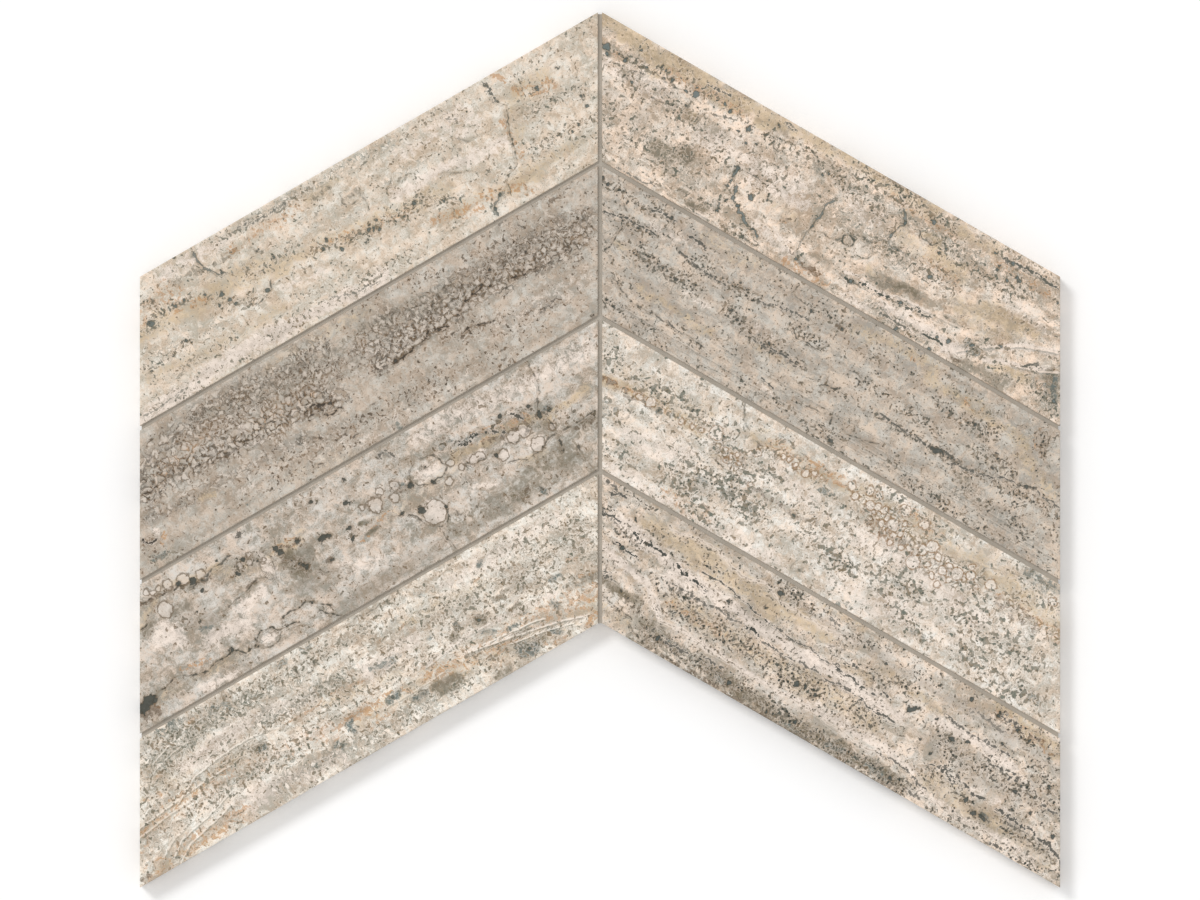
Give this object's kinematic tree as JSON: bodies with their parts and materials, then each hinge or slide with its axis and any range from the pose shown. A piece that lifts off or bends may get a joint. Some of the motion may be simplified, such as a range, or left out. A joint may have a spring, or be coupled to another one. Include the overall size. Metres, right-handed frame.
{
  "type": "chevron mosaic wall tile",
  "caption": "Mesh-backed mosaic sheet of mitred travertine tiles set as nested chevrons with recessed grey grout, for facing a wall.",
  "frame": {"origin": "underside of the backing mesh, below the middle of the box round the sheet", "axes": "+Z out of the stone faces, +Y the way the chevrons point, +X across the sheet from the left tiles to the right tiles"},
  "size_m": [0.3134, 0.2982, 0.0105],
  "materials": {
    "travertine_cream": "matte",
    "travertine_beige": "matte",
    "travertine_taupe": "matte",
    "grey_grout": "matte",
    "fibreglass_mesh": "matte"
  },
  "bodies": {
    "root": {"left_tile_1": "travertine_cream", "left_tile_2": "travertine_taupe", "left_tile_3": "travertine_taupe", "left_tile_4": "travertine_cream", "right_tile_1": "travertine_beige", "right_tile_2": "travertine_taupe", "right_tile_3": "travertine_cream", "right_tile_4": "travertine_beige", "joint_grout": "grey_grout", "backing_mesh": "fibreglass_mesh"}
  },
  "joints": []
}
